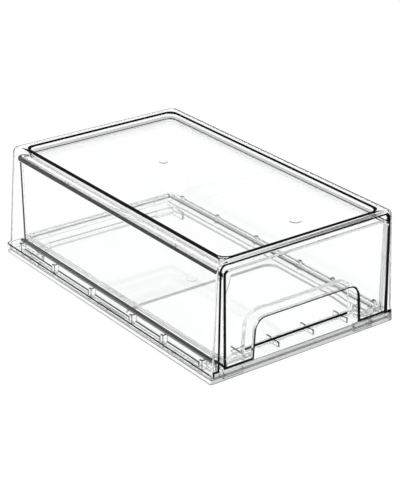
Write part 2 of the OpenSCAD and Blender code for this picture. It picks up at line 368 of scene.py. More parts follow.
def on_mouth(edge):
    """True for the inner edges of the opening, on the front face."""
    middle = middle_of(edge)
    from_skin = min(skin(middle.z)[1] - abs(middle.x), ROOF - middle.z)
    return (in_plane(edge, FRONT) and from_skin > FRONT_EDGE + 0.5 * MM
            and not at_level(edge, DECK))


# Strips of painted shade along the rim of the sunken panel and round the opening.
print("rim edges:", edge_line(housing, on_panel_rim, RIM_LINE, 1.0))
print("mouth edges:", edge_line(housing, on_mouth, MOUTH_LINE, 1.0))

# %% Strips of painted shade on the wall round the panel, by their depth below the roof
RIM_BAND = 0.6 * MM
RIM_FACE = 1.3 * MM
TRAP_BAND = 3.5 * MM
TRAP_SHADE = 0.25


def panel_wall(centre, normal, way=-1):
    """True on the wall round the sunken panel. way is 1 for its other side, inside the room."""
    rim = sunk(ROOF, 4 * MM)
    middle = (rim[2] + rim[3]) / 2
    return (abs(centre.x) < rim[1] and rim[2] < centre.y < rim[3] and abs(normal.z) < 0.5
            and way * (normal.x * centre.x + normal.y * (centre.y - middle)) > 0)


def wall_strip(deep, shallow, sideways=0.0):
    """Test for a strip of that wall, on all of it or only where it faces sideways."""
    return lambda c, n: (panel_wall(c, n) and ROOF - deep < c.z < ROOF - shallow
                         and abs(n.x) >= sideways)


cut_at(housing, ROOF - RIM_BAND, panel_wall)
mark(housing, "line", 0.0, wall_strip(SUNK + NEAR, RIM_BAND))
cut_at(housing, ROOF - RIM_FACE, panel_wall)
mark(housing, "skin", 1.0, wall_strip(RIM_FACE, RIM_BAND))
cut_at(housing, ROOF - TRAP_BAND, panel_wall)
mark(housing, "trap", TRAP_SHADE, wall_strip(TRAP_BAND, 0))
# The painted shade is full where the wall faces sideways.
mark(housing, "trap", 1.0, wall_strip(TRAP_BAND, 0, sideways=0.6))

# %% Wide strips of painted shade on top of the roof, left of the panel and in front of it
SIDE_SHADE_STRIP = 5.2 * MM
FRONT_SHADE_STRIP = 4.4 * MM
panel_half, panel_front = sunk(ROOF)[1:3]
side_ends = FRONT + 14 * MM, HOUSE_BACK - 20 * MM


def roof_top(centre, normal):
    """True on the flat top of the roof."""
    return normal.z > FLAT and centre.z > ROOF - NEAR


# Painted shade on these two sides only: the left strip has no twin on the right, the front one none
# at the back.
cut_at(housing, panel_half + SIDE_SHADE_STRIP, roof_top, (-1, 0, 0))
mark(housing, "line", 1.0, lambda c, n: roof_top(c, n) and side_ends[0] < c.y < side_ends[1]
     and panel_half < -c.x < panel_half + SIDE_SHADE_STRIP)
cut_at(housing, panel_front - FRONT_SHADE_STRIP, roof_top, (0, 1, 0))
mark(housing, "line", 1.0, lambda c, n: roof_top(c, n) and abs(c.x) < panel_half - 10 * MM
     and panel_front - FRONT_SHADE_STRIP < c.y < panel_front)

# %% Painted shade on the roof's round shoulder, at the right and at the back
SHOULDER_SHADE_STEPS = ((1.0, 0.8, 0.97, 0.2), (0.8, 0.97, 0.999, 0.05))
# Painted shade on the right and back shoulder only; the left and front stay clear.
for dark, steep_end, flat_end, aside in SHOULDER_SHADE_STEPS:
    mark(housing, "skin", dark, lambda c, n: c.z > ROOF - ROOF_EDGE and steep_end < n.z < flat_end
         and (n.x > aside or n.y > aside) and c.y > FRONT + ROOF_EDGE)

# %% Painted shade at the foot of the panel's wall, and at the top of its other side
FILLET_BAND = 0.7 * MM
FILLET_SHADE = 0.7
FLOOR_BAND = 3.2 * MM
FLOOR_SHADE = 0.4
UNDER = ROOF - WALL - 1.3 * MM
UNDER_SHADE = 0.9
mark(housing, "line", FILLET_SHADE, lambda c, n: panel_wall(c, Vector((n.x, n.y, 0)))
     and ROOF - SUNK < c.z < ROOF - SUNK + FILLET_BAND)
cut_at(housing, ROOF - SUNK + FLOOR_BAND, panel_wall)
mark(housing, "skin", FLOOR_SHADE, wall_strip(SUNK - FILLET_BAND, SUNK - FLOOR_BAND))
cut_at(housing, UNDER, lambda c, n: panel_wall(c, n, 1) and c.z > ROOF - SUNK)
mark(housing, "skin", UNDER_SHADE, lambda c, n: panel_wall(c, n, 1) and c.z > UNDER
     and abs(n.x) > 0.6)
tally(housing)

# %% [markdown]
# ### Small things on the housing
# Catches along the foot of each side wall click into windows of the base. They are twenty small
# boxes, joined on in one go. Where the plastic was fed into the mould, two round marks stay on the
# sunken panel. Each is a flat disc whose top face is inset and pushed down, so that a ring is left.

# %% Catches
CATCH_IN = 0.5 * MM
CATCH_OUT = 0.9 * MM
CATCH_LEVEL = (9.5 * MM, 11.1 * MM)
CATCH_LENGTH = 4 * MM
CATCH_PLACES = (-147, -117, -104, -13, 2, 17, 108, 123, 138, 150)

catches = []
for side in (-1, 1):
    for place in CATCH_PLACES:
        inner, outer = sorted((side * (HOUSE_HALF - CATCH_IN), side * (HOUSE_HALF + CATCH_OUT)))
        y = place * MM
        catches.append(block("catch", (inner, outer), (y - CATCH_LENGTH / 2, y + CATCH_LENGTH / 2),
                             CATCH_LEVEL))
combine(housing, as_one(catches), "UNION")

# %% Feed marks on the sunken panel
FEED_MARKS = ((8 * MM, 56 * MM, 4 * MM), (21 * MM, -129 * MM, 5.5 * MM))
FEED_HEIGHT = 0.6 * MM
FEED_RING = 0.8 * MM
FEED_DENT = 0.6 * FEED_HEIGHT


def feed_mark(x, y, level, radius):
    """A low disc with a raised ring round it."""
    bpy.ops.object.select_all(action="DESELECT")
    bpy.ops.mesh.primitive_cylinder_add(vertices=32, radius=radius, depth=2 * FEED_HEIGHT,
                                        location=(x, y, level))
    disc = bpy.context.object
    bpy.ops.object.transform_apply(location=True, rotation=True, scale=True)
    pick(disc, "FACE", lambda face: face.normal.z > FLAT)
    bpy.ops.mesh.inset(thickness=FEED_RING)
    bpy.ops.transform.translate(value=(0, 0, -FEED_DENT))
    leave()
    return disc


for x, y, radius in FEED_MARKS:
    combine(housing, feed_mark(x, y, ROOF - SUNK, radius), "UNION")
    # Painted shade on the sides of each feed mark's ring.
    mark(housing, "skin", 1.0, lambda c, n: math.hypot(c.x - x, c.y - y) < radius
         and abs(n.z) < FLAT)
tally(housing)

# %% [markdown]
# ## The drawer
# The drawer is a tray with a rolled rim, a flat front that is a little larger than the tray, and a
# finger recess that goes in under the front. A box with its top inset and pushed down would do for
# the tray, but not for the leaning walls with round corners inside and out. So the outside is
# joined first, and the hollow and the space below the floor are cut out of it. The tray's back
# corners carry a "skin" strip of painted shade on their sides, which darkens the corner that is
# seen from outside and leaves the one behind it clear.

# %% Tray
TRAY_FOOT = tray_low[2]
PANEL_TOP = tray_high[2]
PANEL_HALF = tray_high[0]
PANEL_FACE = tray_low[1]
PANEL_BACK = PANEL_FACE + WALL
OVERLAP = 1.5 * MM
NARROWER = 1.1 * MM
TRAY_TOP = ROOF - SUNK - WALL - 1.1 * MM
TRAY_BACK = tray_high[1] - OVERLAP
ROLL = 4.5 * MM
ROLL_EASE = 1.2 * MM
TRAY_CORNER = 2.5 * MM
CORNER_LINE = 5 * MM
TRAY_INTO_FRONT = 0.5 * MM
ROLL_INTO_FRONT = 0.4 * MM


def tray(z, inset=0.0, front=PANEL_BACK):
    """The tray's outline at level z, moved in by inset at the sides and the back."""
    half = PANEL_HALF - OVERLAP - NARROWER * (TRAY_TOP - z) / (TRAY_TOP - TRAY_FOOT)
    return z, half - inset, front, TRAY_BACK - inset


def back_corner(edge):
    """True for the upright edges at the back."""
    return upright(edge) and middle_of(edge).y > 0


into_front = PANEL_BACK - TRAY_INTO_FRONT
drawer = leaning("clear_drawer", tray(TRAY_FOOT, 0, into_front), tray(TRAY_TOP, 0, into_front))
edge_line(drawer, back_corner, CORNER_LINE, 1.0, TRAY_CORNER, 6, "skin")
mark(drawer, "skin", 0.0, lambda c, n: n.y > FLAT)

into_front = PANEL_BACK - ROLL_INTO_FRONT
roll = leaning("rolled rim", tray(TRAY_TOP - ROLL, -OVERLAP, into_front),
               tray(TRAY_TOP, -OVERLAP, into_front))
soften(roll, back_corner, TRAY_CORNER + OVERLAP, 8)
soften(roll, lambda e: at_level(e, TRAY_TOP - ROLL) and middle_of(e).y > PANEL_BACK, ROLL_EASE, 3)
combine(drawer, roll, "UNION")
tally(drawer)

# %% Hollow, and the space under the floor
FLOOR_UNDER = TRAY_FOOT + 3 * MM
FLOOR_TOP = FLOOR_UNDER + WALL
HOLLOW_CORNER = 4 * MM
FLOOR_FILLET = 3.5 * MM

hollow = leaning("hollow", tray(FLOOR_TOP, WALL), tray(TRAY_TOP + PAST, WALL))
soften(hollow, upright, HOLLOW_CORNER, 6)
soften(hollow, lambda e: at_level(e, FLOOR_TOP), FLOOR_FILLET, 6)
underside = leaning("underside", tray(TRAY_FOOT - PAST, WALL), tray(FLOOR_UNDER, WALL))
soften(underside, back_corner, 1 * MM, 3)
combine(drawer, hollow)
combine(drawer, underside)
tally(drawer)

# %% [markdown]
# ### The front and its finger recess
# The recess is a pocket for the fingers, with a wall of its own. A block in its shape, one wall
# thickness larger, is joined on behind the front. Then the same block in its true size is cut out
# through the front and the foot, and what is left is a wall of even thickness.

# %% Front and finger recess
GRIP_TOP = TRAY_FOOT + 37.6 * MM
GRIP_HALF = 57.6 * MM
GRIP_FLARE = 2.6 * MM
GRIP_BACK = PANEL_FACE + 14.5 * MM
GRIP_CORNER = 10 * MM
GRIP_EDGE = 1 * MM
GRIP_WALL_IN = 1 * MM       # the recess's own wall starts this far behind the front's face
FRONT_CORNER = 4 * MM


def along_y(edge):
    run = edge.verts[1].co - edge.verts[0].co
    return abs(run.y) > FLAT * run.length


def grip(grow, low, front, back):
    """Block in the shape of the finger recess, moved out by grow, with its corners rounded."""
    per_level = GRIP_FLARE / (GRIP_TOP - TRAY_FOOT)
    half = GRIP_HALF + grow
    piece = leaning("finger recess", (low, half + (GRIP_TOP - low) * per_level, front, back),
                    (GRIP_TOP + grow, half, front, back))
    soften(piece, lambda e: along_y(e) and middle_of(e).z > GRIP_TOP, GRIP_CORNER + grow, 10)
    return piece


front = leaning("front", (TRAY_FOOT, PANEL_HALF - NARROWER, PANEL_FACE, PANEL_BACK),
                (PANEL_TOP, PANEL_HALF, PANEL_FACE, PANEL_BACK))
soften(front, lambda e: along_y(e) and at_level(e, PANEL_TOP), FRONT_CORNER, 6)
combine(drawer, front, "UNION")
combine(drawer, grip(WALL, TRAY_FOOT, PANEL_FACE + GRIP_WALL_IN, GRIP_BACK + WALL), "UNION")
hand = grip(0, TRAY_FOOT - PAST, PANEL_FACE - PAST, GRIP_BACK)
soften(hand, lambda e: in_plane(e, GRIP_BACK), GRIP_EDGE, 4)
combine(drawer, hand)
split_hollow_faces(drawer)
tally(drawer)

# %% [markdown]
# ### Dark lines on the drawer
# The lines are painted shade, and follow what the eye needs to read the drawer: the outline of its
# front with the arch of the recess, the foot of the tray and its rolled rim. Where light runs up
# inside the front and leaves it at an edge, the edge gets a painted shade or a "trap" in place of
# a line.

# %% Lines round the front and the finger recess
FRONT_LINE = 1.6 * MM


def on_front_outline(edge):
    """True for the outer edges of the front, seen from the front."""
    middle = middle_of(edge)
    return in_plane(edge, PANEL_FACE) and (
        abs(middle.x) > PANEL_HALF - 3 * MM or middle.z > PANEL_TOP - 2 * MM)


def on_arch(edge):
    """True for the front edges of the finger recess."""
    middle = middle_of(edge)
    return (in_plane(edge, PANEL_FACE) and abs(middle.x) < GRIP_HALF + 3 * MM
            and TRAY_FOOT + NEAR < middle.z < GRIP_TOP + 1 * MM)


def on_front_foot(edge):
    """True for the bottom edges of the front, left and right of the finger recess."""
    return in_plane(edge, PANEL_FACE) and at_level(edge, TRAY_FOOT)


print("front edges:", edge_line(drawer, lambda e: on_front_outline(e) or on_arch(e)
                                or on_front_foot(e), FRONT_LINE, 1.0))

# %% Line along the tray's foot
FOOT_LINE = 1.2 * MM
FOOT_SHADE = 0.6
FOOT_BAND = TRAY_FOOT + 3 * MM


def on_tray_foot(edge):
    """True for the bottom outer edges of the tray's sides and back."""
    middle = middle_of(edge)
    outside = tray(TRAY_FOOT)
    return (at_level(edge, TRAY_FOOT) and middle.y > PANEL_BACK
            and max(abs(middle.x) - outside[1], middle.y - outside[3]) > -TRAY_CORNER)


def tray_side(centre, normal):
    """True on the outside of the tray's two side walls."""
    return (abs(normal.x) > FLAT and centre.y > PANEL_BACK and normal.x * centre.x > 0
            and abs(centre.x) > tray(TRAY_FOOT)[1] - NEAR)


print("foot edges:", edge_line(drawer, on_tray_foot, FOOT_LINE, FOOT_SHADE))
cut_at(drawer, FOOT_BAND, tray_side)
mark(drawer, "skin", 1.0, lambda c, n: tray_side(c, n) and TRAY_FOOT + 1 * MM < c.z < FOOT_BAND)

# %% Line along the rolled rim, and shades on the front's own edges
ROLL_LINE = 3 * MM
TOP_SHADE = 0.25


def on_roll(edge):
    """True for the outer edge along the top of the rolled rim."""
    middle = middle_of(edge)
    return (at_level(edge, TRAY_TOP) and middle.y > PANEL_BACK + 2 * MM
            and max(abs(middle.x) - PANEL_HALF, middle.y - tray_high[1]) > -2 * MM)


def on_front_top(centre, normal):
    """True for the rounded edge along the top of the front."""
    return centre.z > PANEL_TOP - 1 * MM and abs(centre.x) < PANEL_HALF - 6 * MM


def on_front_side(centre, normal):
    """True for the upright outer edges of the front."""
    return (centre.y < PANEL_BACK and abs(normal.x) > FLAT
            and abs(centre.x) > PANEL_HALF - 3 * MM)


print("roll edges:", edge_line(drawer, on_roll, ROLL_LINE, 1.0))
mark(drawer, "line", TOP_SHADE, on_front_top)
mark(drawer, "trap", 1.0, on_front_side)
tally(drawer)

# %% [markdown]
# ## The base frame
# The base is a rim round two windows, as light as it can be and still stiff. Its lip holds the
# housing's walls. It could be extruded from an outline, but its steps have rounded corners of many
# sizes, and rounded blocks cut out of each other give every step its own. The side walls of the
# housing stand in grooves, and its catches look out of small windows in the lip.

# %% Rim and strips
RIM_FOOT = FOOT
RIM_TOP = RIM_FOOT + 9 * MM
WINDOW_LEVEL = RIM_FOOT + 3 * MM
BASE_CORNER = 5 * MM
BASE_FRONT_CORNER = 2.6 * MM
LEAST_CORNER = 0.6 * MM
BASE_EDGE = 0.5 * MM
FRONT_SHADE = 0.35
BASE_FRONT = -BASE_BACK


def plate(name, inset, z, front_inset=None):
    """A flat block with the outline of the base, moved in by inset."""
    front = BASE_FRONT + (inset if front_inset is None else front_inset)
    piece = block(name, (-BASE_HALF + inset, BASE_HALF - inset), (front, BASE_BACK - inset), z)
    soften(piece, back_corner, BASE_CORNER - inset, 6)
    soften(piece, lambda e: upright(e) and middle_of(e).y < 0,
           max(BASE_FRONT_CORNER - inset, LEAST_CORNER), 4)
    return piece


def rounded_block(name, half, y, z, radius):
    """A flat block with four round corners, seen from above."""
    piece = block(name, (-half, half), y, z)
    soften(piece, upright, radius, 8)
    return piece


RAIL_MIDDLE = PANEL_HALF - OVERLAP - NARROWER - WALL / 2
RAIL_WIDE = 3 * MM
WINDOW_HALF = RAIL_MIDDLE - RAIL_WIDE / 2
WINDOW_CORNER = 12 * MM
WINDOW_FRONT = BASE_FRONT + 35.5 * MM
WINDOW_BACK = BASE_BACK - 25 * MM
BAR_HALF = 13 * MM


def step(name, grow, z):
    """A block with the outline of the step down to the windows, moved out by grow."""
    side = RAIL_WIDE + grow
    return rounded_block(name, WINDOW_HALF + side, (WINDOW_FRONT - side, WINDOW_BACK + side), z,
                         WINDOW_CORNER + side)


base = plate("clear_base", 0, (RIM_FOOT, RIM_TOP))
# Painted shade on the rim's rounded top and bottom edges, paler along the front.
soften(base, lambda e: at_level(e, RIM_FOOT) or at_level(e, RIM_TOP), BASE_EDGE, 2, dark=1.0)
mark(base, "skin", FRONT_SHADE, lambda c, n: c.y < BASE_FRONT + 1 * MM)
combine(base, plate("space under the strips", WALL, (RIM_FOOT - PAST, DECK - WALL)))
combine(base, plate("seat for the housing", LIP, (DECK, RIM_TOP + PAST), WALL))
combine(base, step("step", WALL, (RIM_FOOT, DECK)), "UNION")
combine(base, step("step down", 0, (WINDOW_LEVEL, DECK + PAST)))
combine(base, as_one([
    rounded_block("window", WINDOW_HALF, span, (RIM_FOOT - PAST, DECK + PAST), WINDOW_CORNER)
    for span in ((WINDOW_FRONT, -BAR_HALF), (BAR_HALF, WINDOW_BACK))]))
tally(base)

# %% Grooves for the side walls, and windows for the catches
CATCH_GAP = 0.3 * MM
cuts = []
for side in (-1, 1):
    inner, outer = sorted((side * (HOUSE_HALF - WALL - LIP_GAP), side * (HOUSE_HALF + LIP_GAP)))
    cuts.append(block("groove", (inner, outer), (BASE_FRONT - PAST, -PAST),
                      (DECK, RIM_TOP + PAST)))
    for place in CATCH_PLACES:
        inner, outer = sorted((side * (HOUSE_HALF - CATCH_IN), side * (BASE_HALF + PAST)))
        y = place * MM
        reach = CATCH_LENGTH / 2 + CATCH_GAP
        cuts.append(block("catch window", (inner, outer), (y - reach, y + reach),
                          (CATCH_LEVEL[0] - CATCH_GAP, CATCH_LEVEL[1] + CATCH_GAP)))
for cut in cuts:
    combine(base, cut)
split_hollow_faces(base)
tally(base)

# %% [markdown]
# ### What stands on the base
# Rails carry the drawer, ribs, tabs and bars stiffen the deck, and feet keep stacked boxes in
# place. Each is a small box with eased edges, which carry painted shade, made once for the right
# and once for the left. A cut corner turns it into an angle, as tabs and feet are, and a cut
# middle into a pocket.

# %% Rails, ribs, tabs, bars and feet
RIB = 1.8 * MM
RIB_TOP = DECK + 4.7 * MM
RIB_PLACES = (20 * MM, 60 * MM)
RIB_LENGTH = 20 * MM
BOX_X, BOX_BEHIND, BOX_LENGTH = 80 * MM, 0.4 * MM, 15.3 * MM
RAIL_TOP = RIM_FOOT + 12.2 * MM
RAIL_PAST_WINDOW = 23 * MM
TAB_TOP = DECK + 9.5 * MM
TAB_PLACES = (-152.5, -94, -45, 23, 88, 150)
TAB_REACH = 5.6 * MM
TAB_LENGTH = 4 * MM
BAR_FROM_WALL = 9 * MM
BAR_FROM_TAB = 3 * MM
FOOT_GAP = 0.8 * MM         # from the rim of the box below, when boxes are stacked
FOOT_HALF = sunk(ROOF)[1] - FOOT_GAP
FOOT_LEG = 22 * MM
BAR_MARK = (3 * MM, 0, WINDOW_LEVEL, 5 * MM)
EASE = 0.4 * MM
SET_IN = 0.5 * MM

parts = []


def mirrored(span, side):
    return sorted((side * span[0], side * span[1]))


def stand(x, y, z, cut=None, hangs=False, ease=EASE):
    """Adds a box at each side, with a corner or a middle cut out, and eases its free edges with
    painted shade on them.
    """
    for side in (-1, 1):
        piece = block("stiffener", mirrored(x, side), y, z)
        if cut:
            combine(piece, block("cut", mirrored(cut[0], side), cut[1], (z[0] - PAST, z[1] + PAST)))
        joined = z[1] if hangs else z[0]
        if ease:
            soften(piece, lambda e: abs(middle_of(e).z - joined) > NEAR
                   and e.calc_face_angle_signed() > 0.1, ease, 2, dark=1.0)
        parts.append(piece)


rail_front = WINDOW_FRONT - RAIL_PAST_WINDOW
stop = HOUSE_BACK - BACK_LEAN * (TRAY_TOP - DECK) / (ROOF - DECK) - WALL
low_rib = (DECK - SET_IN, RIB_TOP)
stand((WINDOW_HALF, WINDOW_HALF + RAIL_WIDE), (rail_front, stop + RIB), (RIM_FOOT, RAIL_TOP))
for x in RIB_PLACES:
    stand((x - RIB / 2, x + RIB / 2), (rail_front, rail_front + RIB_LENGTH), low_rib)
box_front, box_back = rail_front + BOX_BEHIND, rail_front + BOX_LENGTH
stand((BOX_X, RAIL_MIDDLE), (box_front, box_back), low_rib,
      cut=((BOX_X + RIB, RAIL_MIDDLE + PAST), (box_front + RIB, box_back - RIB)), ease=0)

wall_x = skin(TAB_TOP)[1] - WALL - LIP_GAP
for place in TAB_PLACES:
    start = place * MM - TAB_LENGTH / 2
    stand((wall_x - TAB_REACH, wall_x), (start, start + TAB_LENGTH), (DECK - SET_IN, TAB_TOP),
          cut=((wall_x - TAB_REACH - PAST, wall_x - RIB), (start + RIB, start + TAB_LENGTH + PAST)))
inset = TAB_LENGTH / 2 + BAR_FROM_TAB
bar_x = wall_x - BAR_FROM_WALL + TAB_REACH
for here, there in zip(TAB_PLACES, TAB_PLACES[1:]):
    stand((bar_x, bar_x + RIB), (here * MM + inset, there * MM - inset), low_rib)

for end, way in ((sunk(ROOF)[2] + FOOT_GAP, 1), (sunk(ROOF)[3] - FOOT_GAP, -1)):
    stand((FOOT_HALF - FOOT_LEG, FOOT_HALF), sorted((end, end + way * FOOT_LEG)),
          (0, DECK - SET_IN),
          cut=((FOOT_HALF - FOOT_LEG - PAST, FOOT_HALF - FOOT),
               sorted((end + way * FOOT, end + way * (FOOT_LEG + PAST)))), hangs=True)
for part in parts:
    combine(base, part, "UNION")
combine(base, feed_mark(*BAR_MARK), "UNION")
tally(base)

# %% Rear stop with its slots
SLOT_PLACES = (-78, -50, 50, 78)
SLOT_HALF = 7 * MM
SLOT_HEIGHT = 3 * MM

stop_wall = block("rear stop", (-WINDOW_HALF - 1 * MM, WINDOW_HALF + 1 * MM), (stop, stop + RIB),
                  (DECK - SET_IN, RAIL_TOP))
slots = []
for x in SLOT_PLACES:
    slots.append(block("slot", (x * MM - SLOT_HALF, x * MM + SLOT_HALF),
                       (stop - PAST, stop + RIB + PAST),
                       (DECK + SET_IN, DECK + SET_IN + SLOT_HEIGHT)))
combine(stop_wall, as_one(slots))
combine(base, stop_wall, "UNION")
tally(base)

# %% [markdown]
# ## Smooth shading and the last lines
# Faces that meet at a flat angle are shaded as one round surface, and weighted normals keep the
# large faces beside them flat. Faces that bend round a hole are split first, so that they stay as
# they are in an exported file.

# %% Finish the meshes
SMOOTH_BELOW = math.radians(32)
for piece in (housing, base, drawer):
    split_hollow_faces(piece)
    lone(piece)
    bpy.ops.object.shade_smooth_by_angle(angle=SMOOTH_BELOW)
    even = piece.modifiers.new("Even shading", "WEIGHTED_NORMAL")
    even.keep_sharp = True
    bpy.ops.object.modifier_apply(modifier=even.name)
    print("shaded:", piece.name)

# %% [markdown]
# ### Last lines, on the finished meshes
# These strips of painted shade lie on flat faces, so they can be cut off last, when the smooth
# shading is done. They darken the rails' upper edges, the outside of the rolled rim, the foot of
# the drawer's front, and the edge of the drawer's floor behind the finger recess. Rounding the
# base's edges has also put painted shade on the flat top of its lip, which gets most of its
# clearness back here at the front.

# %% Lines on the base
RAIL_LINE = RAIL_TOP - 2.4 * MM
RAIL_SHADE = 0.8
LIP_SHADE = 0.2


def rail_side(centre, normal):
    """True on the outer sides of the drawer's rails."""
    return (abs(abs(centre.x) - WINDOW_HALF - RAIL_WIDE) < NEAR and abs(normal.x) > FLAT
            and DECK < centre.z < RAIL_TOP)


cut_at(base, RAIL_LINE, rail_side)
mark(base, "skin", RAIL_SHADE, lambda c, n: rail_side(c, n) and c.z > RAIL_LINE)
mark(base, "skin", LIP_SHADE, lambda c, n: n.z > FLAT and c.z > RIM_TOP - NEAR
     and c.y < BASE_FRONT + 4 * MM)

# %% Lines on the drawer
FRONT_FOOT = TRAY_FOOT + 2.6 * MM
LOW_EDGE, HIGH_EDGE = FLOOR_UNDER - 0.4 * MM, FLOOR_UNDER + 2.2 * MM


def roll_side(centre, normal):
    """True on the outer sides of the rolled rim."""
    return (TRAY_TOP - ROLL + ROLL_EASE < centre.z < TRAY_TOP and centre.y > PANEL_BACK
            and normal.x * centre.x > 0.7 * abs(centre.x))


def front_face(centre, normal):
    """True on the flat outside of the front."""
    return abs(centre.y - PANEL_FACE) < NEAR


def grip_rear(centre, normal):
    """True on the front of the wall behind the finger recess."""
    return abs(centre.y - GRIP_BACK) < NEAR and normal.y < -FLAT and centre.z < GRIP_TOP


mark(drawer, "skin", 1.0, roll_side)
cut_at(drawer, FRONT_FOOT, front_face)
mark(drawer, "line", 1.0, lambda c, n: front_face(c, n) and c.z < FRONT_FOOT)
mark(drawer, "line", 1.0, lambda c, n: c.z < TRAY_FOOT + 1 * MM and c.y < PANEL_BACK)
for level in (LOW_EDGE, HIGH_EDGE):
    cut_at(drawer, level, grip_rear)
mark(drawer, "line", 1.0, lambda c, n: grip_rear(c, n) and abs(c.x) < GRIP_HALF
     and LOW_EDGE < c.z < HIGH_EDGE)

# %% [markdown]
# ## Clear plastic
# Clear plastic over a white ground is nearly invisible. What shows are its edges, where light is
# bent aside or runs on inside a wall and comes out elsewhere. A render traces only some of that, so
# the material turns the noted faces dark as painted shade: "line" from both sides, "skin" from
# outside and "trap" from inside. Light caught inside the plastic at a grazing face is painted
# dark too. The surface itself is clear plastic with a slight waviness and fine scuffs, which one
# node group gives to all three mouldings. Its index of refraction is lower than a real one,
# because every layer would otherwise lay a pale veil over what is behind it.

# %% Shared surface of a polished moulding
def socket(group, name, way, kind, value=None):
    """Adds a socket to a node group."""
    made = group.interface.new_socket(name=name, in_out=way, socket_type=kind)
    if value is not None:
        made.default_value = value
    return made


surface = bpy.data.node_groups.new("moulded surface", "ShaderNodeTree")
socket(surface, "Waviness", "INPUT", "NodeSocketFloat", 0.05)
socket(surface, "Scuffs", "INPUT", "NodeSocketFloat", 0.02)
socket(surface, "Tint", "INPUT", "NodeSocketColor", (0.98, 0.985, 0.985, 1))
socket(surface, "Base Color", "OUTPUT", "NodeSocketColor")
socket(surface, "Roughness", "OUTPUT", "NodeSocketFloat")
socket(surface, "Normal", "OUTPUT", "NodeSocketVector")

nodes, links = surface.nodes, surface.links
given = nodes.new("NodeGroupInput")
result = nodes.new("NodeGroupOutput")
place = nodes.new("ShaderNodeTexCoord")

WAVES_PER_METRE = 28
WAVE_HEIGHT = 0.1 * MM
wave = nodes.new("ShaderNodeTexNoise")
wave.inputs["Scale"].default_value = WAVES_PER_METRE
wave.inputs["Detail"].default_value = 1
links.new(place.outputs["Object"], wave.inputs["Vector"])
bump = nodes.new("ShaderNodeBump")
bump.inputs["Distance"].default_value = WAVE_HEIGHT
links.new(given.outputs["Waviness"], bump.inputs["Strength"])
links.new(wave.outputs["Fac"], bump.inputs["Height"])
links.new(bump.outputs["Normal"], result.inputs["Normal"])

SCUFFS_PER_METRE = 160
scuff = nodes.new("ShaderNodeTexNoise")
scuff.inputs["Scale"].default_value = SCUFFS_PER_METRE
scuff.inputs["Detail"].default_value = 6
links.new(place.outputs["Object"], scuff.inputs["Vector"])
worn = nodes.new("ShaderNodeMath")
worn.operation = "MULTIPLY"
links.new(scuff.outputs["Fac"], worn.inputs[0])
links.new(given.outputs["Scuffs"], worn.inputs[1])
links.new(worn.outputs["Value"], result.inputs["Roughness"])

FAINT_CLOUD = (0.985, 0.99, 0.99, 1)
cloud = nodes.new("ShaderNodeMixRGB")
cloud.blend_type = "MULTIPLY"
cloud.inputs["Color2"].default_value = FAINT_CLOUD
links.new(wave.outputs["Fac"], cloud.inputs["Fac"])
links.new(given.outputs["Tint"], cloud.inputs["Color1"])
links.new(cloud.outputs["Color"], result.inputs["Base Color"])

# %% One clear material for each piece
CLEAR_IOR = 1.22
CATCH_FROM = 0.5                    # reflected share from which light counts as caught
# The near black below is painted shade, for noted faces and for caught light.
PAINTED_EDGE_SHADE = (0.01, 0.01, 0.011, 1)
SHADOW_TINT = (0.93, 0.93, 0.93, 1)


